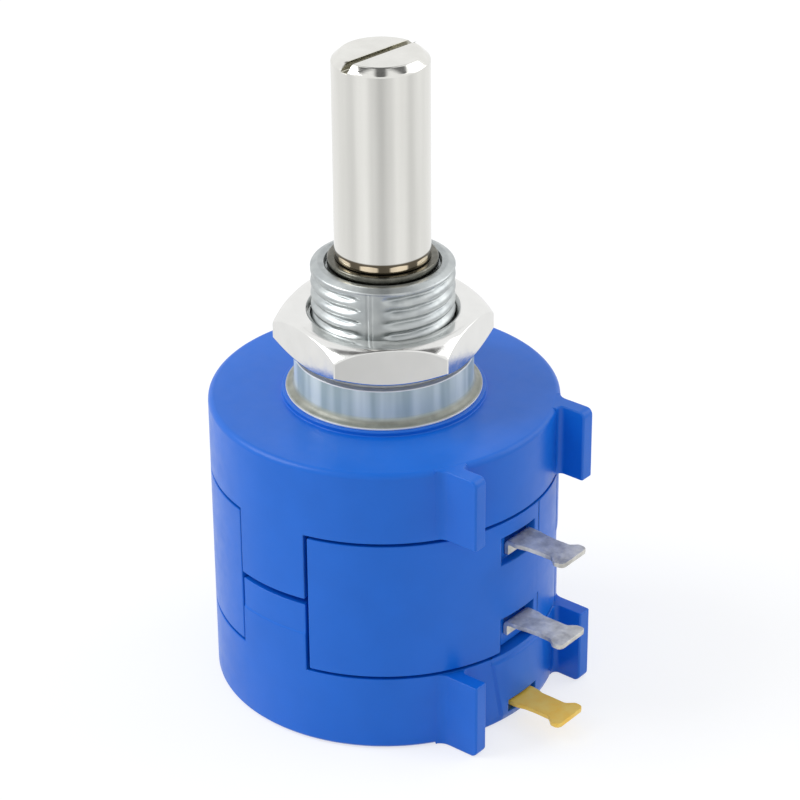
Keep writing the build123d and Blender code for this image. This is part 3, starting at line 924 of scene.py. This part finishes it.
def make_finishes():
    blue_finish()
    bushing_finish()
    plain_finish("nut_metal", (0.79, 0.79, 0.775), (0.83, 0.83, 0.815), 1.6, 1.0, 0.1, 0.18, 0.004)
    plain_finish("washer_metal", (0.45, 0.46, 0.47), (0.56, 0.57, 0.58), 0.6, 1.0, 0.3, 0.45, 0.006)
    plain_finish("ring_metal", (0.11, 0.11, 0.092), (0.18, 0.175, 0.15), 0.5, 1.0, 0.16, 0.3, 0.006)
    plain_finish("bearing_plastic", (0.6, 0.58, 0.52), (0.68, 0.66, 0.6), 1.0, 0.0, 0.4, 0.5, 0.004)
    plain_finish("hub_plastic", (0.03, 0.03, 0.032), (0.05, 0.05, 0.052), 1.5, 0.0, 0.4, 0.5, 0.004)
    plain_finish("contact_brass", (0.62, 0.45, 0.2), (0.74, 0.56, 0.28), 0.8, 1.0, 0.25, 0.4, 0.004)
    plain_finish("carriage_plastic", (0.62, 0.58, 0.47), (0.7, 0.66, 0.55), 1.2, 0.0, 0.4, 0.5, 0.004)
    plain_finish("gold_plate", (1.0, 0.61, 0.08), (1.0, 0.70, 0.15), 0.8, 0.2, 0.36, 0.5, 0.01)
    shaft_finish()
    tinned_finish()
    winding_finish()


def dress_inner_nodes():
    """Gives the sealed inner nodes, whose CAD shape stays, the material of their slot."""
    finishes = {
        "bearing_plastic": ["thrust_washer"],
        "hub_plastic": ["rotor_hub"],
        "carriage_plastic": ["wiper_carriage"],
        "winding": ["resistance_element"],
        "contact_brass": [
            "collector_strip", "slip_ring", "wiper_contact", "collector_brush",
            "front_end_clip", "rear_end_clip", "slip_ring_spring",
        ],
    }
    for slot, nodes in finishes.items():
        for node in nodes:
            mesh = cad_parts[node].data
            mesh.materials.clear()
            mesh.materials.append(looks[slot])


def seen_directly(tree):
    """1 for rays that show the surroundings themselves: to the camera, in gloss or through glass."""
    path = tree.nodes.new("ShaderNodeLightPath").outputs
    either = maths(tree, "MAXIMUM", path["Is Camera Ray"], path["Is Glossy Ray"])
    return maths(tree, "MAXIMUM", either, path["Is Transmission Ray"])


def round_shades(tree, stops):
    """Grey that changes with the direction from the shaft, given as (degrees off the camera, level)."""
    shades = tree.nodes.new("ShaderNodeValToRGB")
    shades.color_ramp.interpolation = "EASE"
    levels = sorted([(0.5 + side * angle / 360, level) for angle, level in stops for side in (-1, 1)])
    elements = shades.color_ramp.elements
    for i, (position, level) in enumerate(levels):
        stop = elements[i] if i < 2 else elements.new(position)
        stop.position = position
        stop.color = (level, level, level, 1)
    round_place = part_of_turn(tree, turned(tree, "Object", 90 - camera_turn))
    tree.links.new(round_place, shades.inputs["Fac"])
    return shades.outputs["Color"]


def floor():
    """Wide pale floor that keeps the part's soft shadow, and shows grey bands to gloss alone."""
    half, drop, glow, grain_mm = 3.0, 0.02, 0.69, 40.0
    bm = bmesh.new()
    bmesh.ops.create_grid(bm, x_segments=1, y_segments=1, size=half)
    mesh = to_mesh("floor", bm)
    plane = linked("floor", mesh)
    plane.location.z = -drop * MM
    finish = Finish("floor_paper", 0.0, 0.9)
    tree = finish.tree
    seen = seen_directly(tree)
    paper = finish.mottle(finish.noise(grain_mm), (0.90, 0.905, 0.91), (0.915, 0.92, 0.925))
    faint = finish.mottle(finish.noise(grain_mm), (0.37, 0.372, 0.374), (0.375, 0.377, 0.38))
    finish.colour(finish.mix(seen, paper, faint))
    finish.shader.inputs["Specular IOR Level"].default_value = 0.0
    finish.shader.inputs["Emission Color"].default_value = (0.99, 0.995, 1, 1)
    finish.link(maths(tree, "MULTIPLY", seen, glow), finish.shader.inputs["Emission Strength"])
    bands = tree.nodes.new("ShaderNodeEmission")
    finish.link(round_shades(tree, gloss_bands), bands.inputs["Color"])
    look = tree.nodes.new("ShaderNodeMixShader")
    finish.link(tree.nodes.new("ShaderNodeLightPath").outputs["Is Glossy Ray"], look.inputs["Fac"])
    finish.link(finish.shader.outputs[0], look.inputs[1])
    finish.link(bands.outputs[0], look.inputs[2])
    finish.link(look.outputs[0], tree.nodes["Material Output"].inputs["Surface"])
    mesh.materials.append(finish.material)


def lamp(name, place, aim, width, watts):
    """Square soft box that stands at a place in the frame, in metres, and faces an aim."""
    light = bpy.data.lights.new(name, "AREA")
    light.shape = "RECTANGLE"
    light.size, light.size_y = width, width
    light.energy = watts
    holder = linked(name, light)
    holder.location = place
    holder.rotation_euler = (Vector(aim) - Vector(place)).to_track_quat("-Z", "Y").to_euler()


def from_view(right, back, up):
    """Point in the frame, in metres, given from the camera's side: right of it, away and up."""
    turn = math.radians(camera_turn)
    x = right * math.cos(turn) - back * math.sin(turn)
    y = right * math.sin(turn) + back * math.cos(turn)
    return (x, y, up)


def overhead_gaps(tree):
    """Level of the surroundings by direction: white, with dark gaps between four panels overhead."""
    gap_half, soft, lowest, dark = 0.15, 0.05, 0.62, 0.16
    ahead = split(tree, turned(tree, "Generated", -camera_turn))
    arms = []
    for axis in "XY":
        off_middle = maths(tree, "ABSOLUTE", ahead[axis])
        arms.append(mapped(tree, off_middle, gap_half - soft, gap_half + soft, 1, 0))
    overhead = mapped(tree, ahead["Z"], lowest - soft, lowest + soft, 0, 1)
    gap = maths(tree, "MULTIPLY", maths(tree, "MAXIMUM", *arms), overhead)
    return mapped(tree, gap, 0, 1, 1, dark)


def studio():
    """White surroundings for camera and gloss, a dimmer fill for diffuse light, and two soft boxes."""
    fill_level, aim = 0.62, (0, 0, 0.02)
    world = bpy.data.worlds.new("studio")
    bpy.context.scene.world = world
    world.use_nodes = True
    tree = world.node_tree
    tree.nodes.clear()
    output = tree.nodes.new("ShaderNodeOutputWorld")
    white, fill = tree.nodes.new("ShaderNodeBackground"), tree.nodes.new("ShaderNodeBackground")
    white.inputs["Color"].default_value = (1, 1, 1, 1)
    tree.links.new(overhead_gaps(tree), white.inputs["Strength"])
    fill.inputs["Color"].default_value = (0.99, 0.995, 1, 1)
    fill.inputs["Strength"].default_value = fill_level
    mix = tree.nodes.new("ShaderNodeMixShader")
    tree.links.new(seen_directly(tree), mix.inputs["Fac"])
    tree.links.new(fill.outputs[0], mix.inputs[1])
    tree.links.new(white.outputs[0], mix.inputs[2])
    tree.links.new(mix.outputs[0], output.inputs["Surface"])
    lamp("key", from_view(-0.38, -0.02, 0.36), aim, 0.3, 1.2)
    lamp("side", from_view(0.38, 0.1, 0.3), aim, 0.36, 0.5)


def camera():
    data = bpy.data.cameras.new("camera")
    data.lens = focal_mm
    data.sensor_width = sensor_mm
    data.clip_start = clip_m
    pitch, roll = math.radians(camera_pitch), math.radians(-camera_roll)
    ahead = Vector((0, math.cos(pitch), -math.sin(pitch)))
    right, up = Vector((1, 0, 0)), Vector((0, math.sin(pitch), math.cos(pitch)))
    right_rolled = math.cos(roll) * right + math.sin(roll) * up
    up_rolled = math.cos(roll) * up - math.sin(roll) * right
    axes = Matrix((right_rolled, up_rolled, -ahead)).transposed().to_4x4()
    place = Matrix.Translation((Vector(look_at) - camera_distance * ahead) * MM)
    holder = linked("camera", data)
    holder.matrix_world = Matrix.Rotation(math.radians(camera_turn), 4, "Z") @ place @ axes
    bpy.context.scene.camera = holder


make_finishes()
front_cover()
rear_cover()
winding_housing()
bushing()
mounting_nut()
lock_washer()
shaft()
retaining_ring()
terminal("front_end_terminal", "tinned_metal", lug_leg_x, lug_leg_h, 1.3)
terminal("rear_end_terminal", "tinned_metal", lug_leg_x, lug_leg_h, 7.9)
terminal("wiper_terminal", "gold_plate", wiper_leg_x, wiper_leg_h, 4.4)
dress_inner_nodes()
floor()
studio()
camera()
bpy.context.scene.view_settings.view_transform = "Standard"
